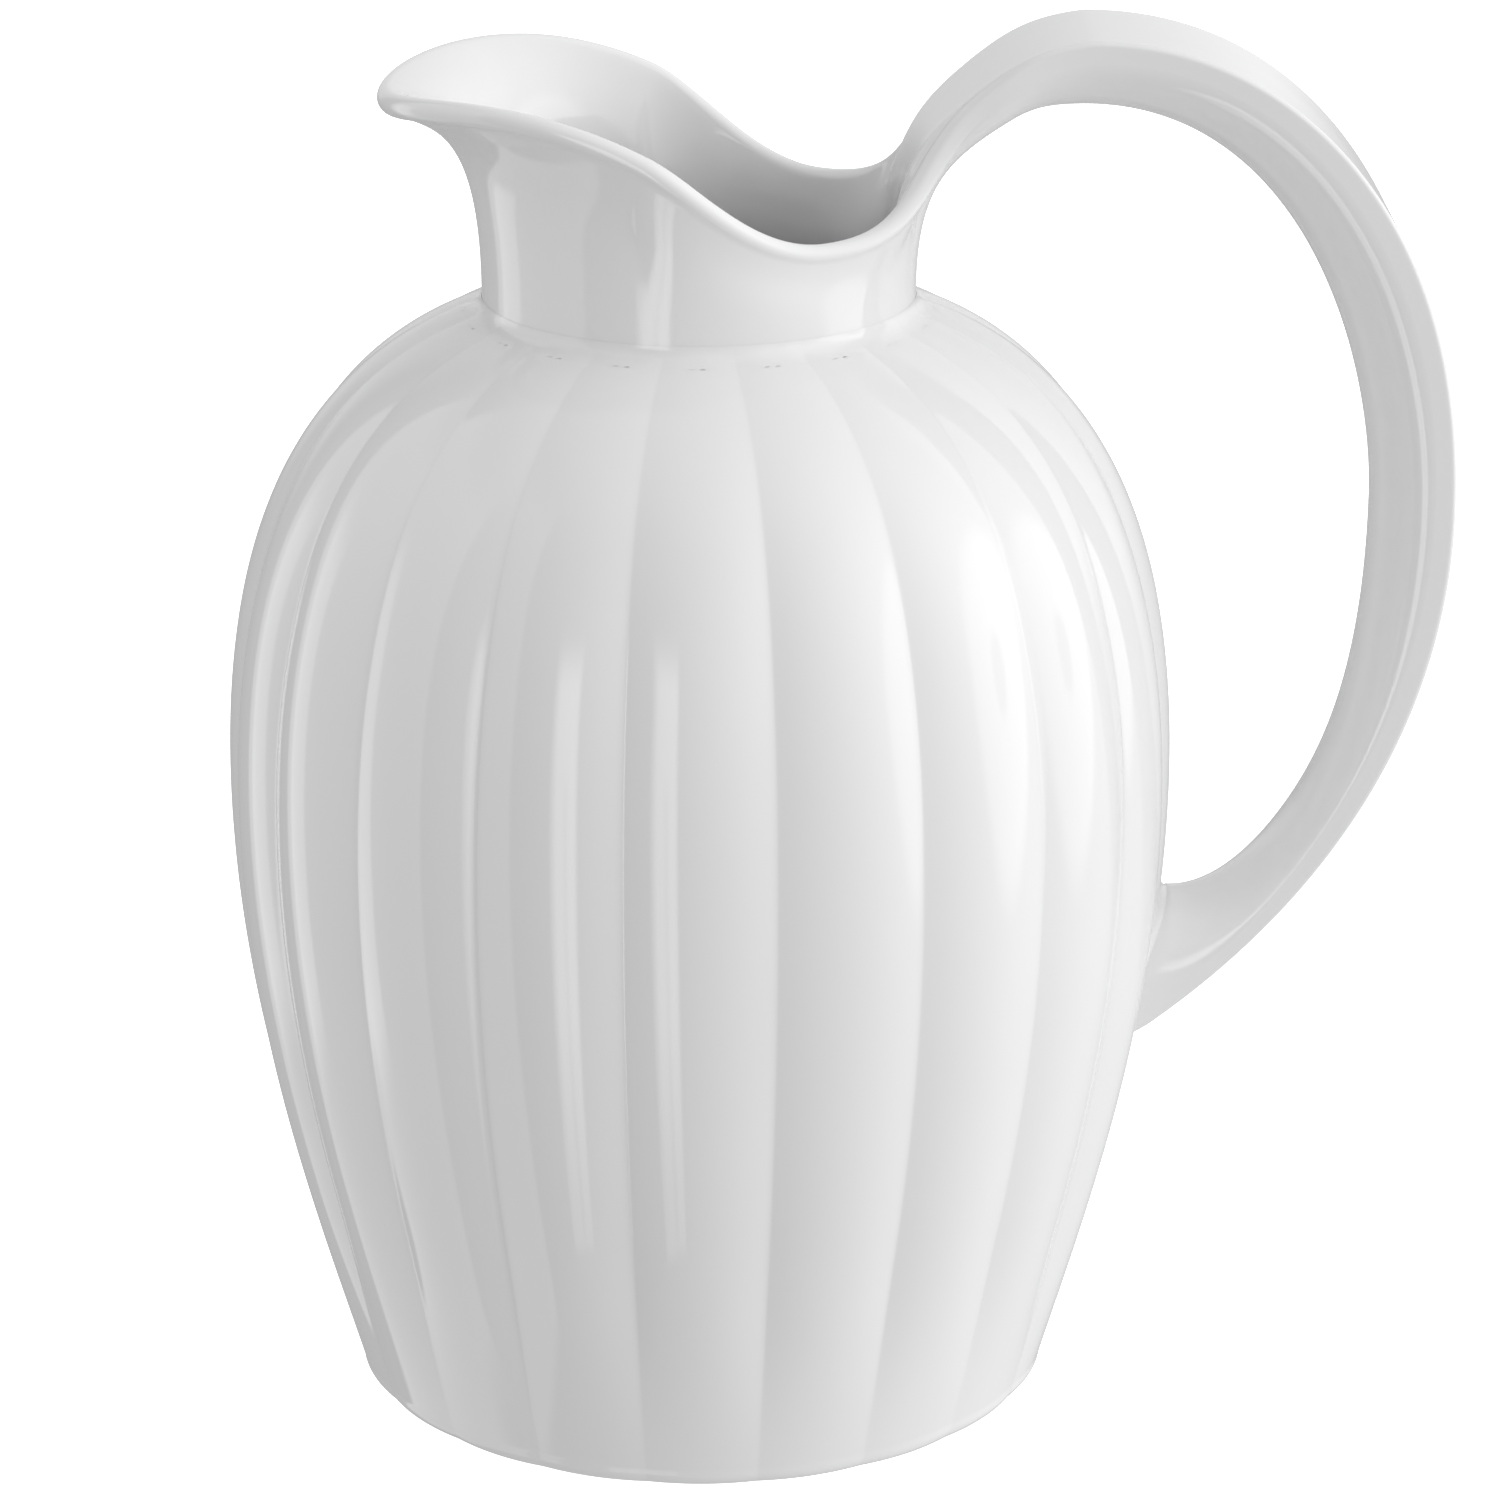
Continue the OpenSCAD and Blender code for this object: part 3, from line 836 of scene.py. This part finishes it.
def make_world():
    """Plain grey studio, brighter on the right. The camera itself sees a white room behind."""
    world = bpy.data.worlds.new("studio")
    bpy.context.scene.world = world
    world.use_nodes = True
    tree = world.node_tree
    sight = tree.nodes.new("ShaderNodeTexCoord").outputs["Generated"]
    lights = [(share, broad_light(tree, sight, *shape)) for share, *shape in BROAD_LIGHTS]
    strength = total(tree, lights, ROOM_LIGHT)
    light = tree.nodes["Background"]
    light.inputs["Color"].default_value = (1, 1, 1, 1)
    tree.links.new(strength, light.inputs["Strength"])
    room = tree.nodes.new("ShaderNodeBackground")
    room.inputs["Color"].default_value = (1, 1, 1, 1)
    ray = tree.nodes.new("ShaderNodeLightPath")
    both = tree.nodes.new("ShaderNodeMixShader")
    tree.links.new(ray.outputs["Is Camera Ray"], both.inputs["Fac"])
    tree.links.new(light.outputs["Background"], both.inputs[1])
    tree.links.new(room.outputs["Background"], both.inputs[2])
    tree.links.new(both.outputs["Shader"], tree.nodes["World Output"].inputs["Surface"])


def make_dome():
    """Large clear dome that carries the studio's lights as the glaze mirrors them.

    Angles are in degrees, as in light_from.
    """
    mesh = bpy.data.meshes.new("light_dome")
    shell = bmesh.new()
    bmesh.ops.create_icosphere(shell, subdivisions=4, radius=DOME_R)
    shell.to_mesh(mesh)
    shell.free()
    material = bpy.data.materials.new("light_dome")
    material.use_nodes = True
    material.cycles.emission_sampling = "NONE"
    tree = material.node_tree
    tree.nodes.remove(tree.nodes["Principled BSDF"])
    place = tree.nodes.new("ShaderNodeTexCoord").outputs["Object"]
    ahead = tree.nodes.new("ShaderNodeVectorMath")
    ahead.operation = "NORMALIZE"
    tree.links.new(place, ahead.inputs[0])
    sight = ahead.outputs["Vector"]
    dish = calc(
        tree, "SUBTRACT", soft_disc(tree, sight, 88, 4, 21, 27), soft_disc(tree, sight, 88, 3, 4, 7))
    strip = soft_strip(tree, sight, -24, 8, 2, -48, 1.5, 14, 14)
    seam = soft_strip(tree, sight, -22.5, 0.6, 1.6, -46, 4, -6, 6)
    shade = calc(tree, "SUBTRACT", 1, calc(tree, "MULTIPLY", seam, SEAM_SHADE))
    strip = calc(tree, "MULTIPLY", strip, shade)
    strength = total(tree, (
        (DISH_GLINT, dish),
        (STRIP_GLINT, strip),
        (STRIP_TOP_GLINT, soft_strip(tree, sight, -23, 5, 5, -26, 26, 12, 12)),
        (LEFT_GLINT, soft_strip(tree, sight, -117, 7, 4, -26, 6, 6, 14)),
        (FILL_GLINT, soft_strip(tree, sight, -97, 33, 4, -49, 3, 40, 20)),
        (BACK_GLINT, soft_strip(tree, sight, 160, 40, 15, 2, 12, 50, 20)),
        (SKY_GLINT, soft_disc(tree, sight, 0, 90, 20, 45)),
        (FLOOR_GLINT, soft_step(tree, toward(tree, sight, (0, 0, -1)), 0.74, 0.78))))
    glow = tree.nodes.new("ShaderNodeEmission")
    tree.links.new(strength, glow.inputs["Strength"])
    clear = tree.nodes.new("ShaderNodeBsdfTransparent")
    both = tree.nodes.new("ShaderNodeAddShader")
    tree.links.new(glow.outputs["Emission"], both.inputs[0])
    tree.links.new(clear.outputs["BSDF"], both.inputs[1])
    tree.links.new(both.outputs["Shader"], tree.nodes["Material Output"].inputs["Surface"])
    mesh.materials.append(material)
    dome = add_object("light_dome", mesh)
    dome.visible_camera = False
    dome.visible_diffuse = False
    dome.visible_shadow = False


def make_camera():
    """Long lens in front of the pitcher, looking down on it and very slightly to one side."""
    camera = bpy.data.cameras.new("camera")
    camera.sensor_width = SENSOR_MM
    camera.lens = LENS_MM
    camera.clip_start, camera.clip_end = 0.05, 100
    holder = add_object("camera", camera)
    holder.location = CAMERA_PLACE
    holder.rotation_euler = (math.radians(90 - CAMERA_TILT), 0, math.radians(CAMERA_TURN))
    bpy.context.scene.camera = holder


glaze, slip = glaze_material(), slip_material()
make_body(glaze)
make_neck(glaze)
make_handle(glaze)
make_neck_joint(slip)
make_handle_joint(slip)
make_foot(bare_clay_material())
make_floor()
make_world()
make_dome()
make_camera()
bpy.context.scene.view_settings.view_transform = "Standard"
